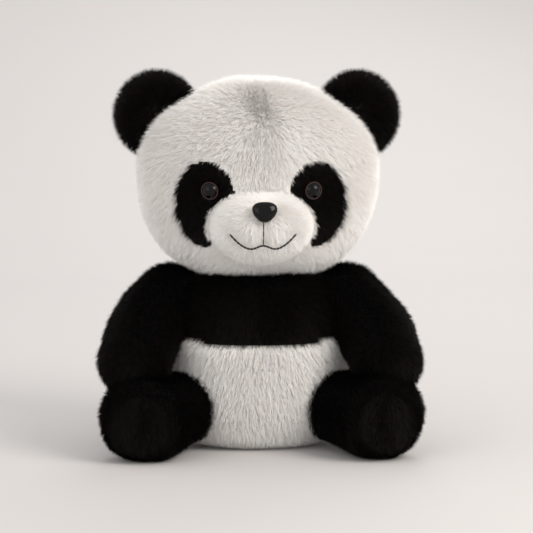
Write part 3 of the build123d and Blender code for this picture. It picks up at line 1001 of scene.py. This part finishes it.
# torso
torsoSkin = keep(makeTorsoSkin(), "torsoSkin", backing["white"])
torsoSkin.data.materials.append(backing["black"])
for polygon in torsoSkin.data.polygons:
    underYokePile = polygon.center.z > bandLine(polygon.center.x) - hang["band"]
    polygon.material_index = 1 if underYokePile else 0
ready(torsoSkin, "torso", "white_plush", "torso_stuffing")

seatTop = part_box("seat_base")[1][2]
seatBare = 0.8 * mm  # nothing grows on the flat underside


def onYoke(p):
    return p.z > bandLine(p.x)


def onWhite(p):
    return seatTop < p.z <= bandLine(p.x) - hang["band"]


torsoPanels = {
    "chest_left": ("black", 51, lambda p: onYoke(p) and p.y < 0 and p.x < 0),
    "chest_right": ("black", 52, lambda p: onYoke(p) and p.y < 0 and p.x >= 0),
    "back_yoke": ("black", 53, lambda p: onYoke(p) and p.y >= 0),
    "belly": ("white", 54, lambda p: onWhite(p) and p.y < 0),
    "lower_back_left": ("white", 55, lambda p: onWhite(p) and p.y >= 0 and p.x < 0),
    "lower_back_right": ("white", 56, lambda p: onWhite(p) and p.y >= 0 and p.x >= 0),
    "seat_base": ("white", 57, lambda p: seatBare < p.z <= seatTop),
}
for node, (batch, seed, inside) in torsoPanels.items():
    fur = growPile(
        torsoSkin, pileName(node), batch, inside, torsoComb, torsoPile, seed, torsoThick)
    ready(fur, "torso", f"{batch}_plush", node)

tailSkin = keep(makeTailSkin(), "tailSkin", backing["white"])
ready(tailSkin, "torso", "white_plush", "tail_stuffing")
fur = growPile(
    tailSkin, pileName("tail"), "white", lambda p: p.y > tail["pileFrom"], lambda p: down,
    lambda p: tail["pile"], 60)
ready(fur, "torso", "white_plush", "tail_cover")

neckSkin = keep(makeNeckSkin(), "neckSkin", backing["black"])
ready(neckSkin, "neck", "polyester_fill", "neck_stuffing")
print("torso made")

# arms and legs
legLay = {
    "under": 36 * mm, "floorBare": 1.2 * mm,  # the lower panel starts here; no pile underneath
    "soleEdge": 0.55 * leg["foot"], "forward": 0.8, "hang": 0.35,
    "soleOut": 12, "soleHang": 0.4,
    "hipFrom": 14 * mm, "hipTo": 26 * mm,  # the pile thins out towards the torso
    "upper": 8.8 * mm, "lower": 7.5 * mm, "sole": 6.0 * mm,
    "low": 0.45, "lowTo": 14 * mm,  # shorter near the floor
}


def growArm(side):
    shoulder, paw = armEnds(side)
    sign, run = signs[side], (paw - shoulder).normalized()
    skin = keep(makeArmSkin(side), f"{side}ArmSkin", backing["black"])
    ready(skin, f"arm_{side}", "black_plush", f"arm_stuffing_{side}")

    def outwards(p):
        return ((p - shoulder) - run * (p - shoulder).dot(run)).x * sign

    for region, facing, seed in (("outer", 1, 70), ("inner", -1, 72)):
        fur = growPile(
            skin, pileName(f"arm_{region}_{side}"), "black",
            lambda p, o=facing: outwards(p) * o > 0,
            lambda p: run * arm["along"] + down * arm["hang"], lambda p: arm["pile"], seed + sign,
            lambda p: smooth(arm["bareFrom"], arm["bareTo"], (p.x - shoulder.x) * sign))
        ready(fur, f"arm_{side}", "black_plush", f"arm_{region}_{side}")


def growLeg(side):
    hip, foot = legEnds(side)
    facing = soleFacing(side)
    skin = keep(makeLegSkin(side), f"{side}LegSkin", backing["black"])
    ready(skin, f"leg_{side}", "black_plush", f"leg_stuffing_{side}")

    def onSole(p):
        forward = (p - foot).dot(facing)
        return forward > legLay["soleEdge"] and (p - foot - facing * forward).length < soleRadius

    def legThick(p):
        if p.z <= legLay["floorBare"]:
            return 0.0
        return smooth(legLay["hipFrom"], legLay["hipTo"], (p - hip).length)

    def soleComb(p):
        out = p - foot
        out = out - facing * out.dot(facing)
        return out * legLay["soleOut"] + down * legLay["soleHang"]

    def legComb(p):
        return facing * legLay["forward"] + down * legLay["hang"]

    def onUnder(p):
        return not onSole(p) and legLay["floorBare"] < p.z <= legLay["under"]

    def onUpper(p):
        return not onSole(p) and p.z > legLay["under"]

    regions = {
        "leg_upper": (onUpper, legComb, legLay["upper"], 80),
        "leg_under": (onUnder, legComb, legLay["lower"], 82),
        "sole": (onSole, soleComb, legLay["sole"], 84),
    }
    for region, (inside, comb, long, seed) in regions.items():
        fur = growPile(
            skin, pileName(f"{region}_{side}"), "black", inside, comb,
            lambda p, l=long: l * shortened(legLay["low"], 0, legLay["lowTo"], p.z),
            seed + signs[side], legThick)
        ready(fur, f"leg_{side}", "black_plush", f"{region}_{side}")


for side in signs:
    growArm(side)
    growLeg(side)
print("limbs made")

# pieces that keep their CAD shape
inner = {
    fibreFill: ("shoulder_core_left", "shoulder_core_right", "hip_core_left", "hip_core_right"),
    washerNylon: ("eye_washer_left", "eye_washer_right", "nose_washer"),
    pelletCotton: ("pellet_bag",),
    labelSatin: ("care_label",),
    blackThread: ("neck_seam", "closing_seam"),
}
for material, names in inner.items():
    for name in names:
        paint(name, material)

# the loose strands have been planted, and aren't pieces themselves
for box in strands.values():
    for piece in list(box.objects):
        bpy.data.objects.remove(piece)
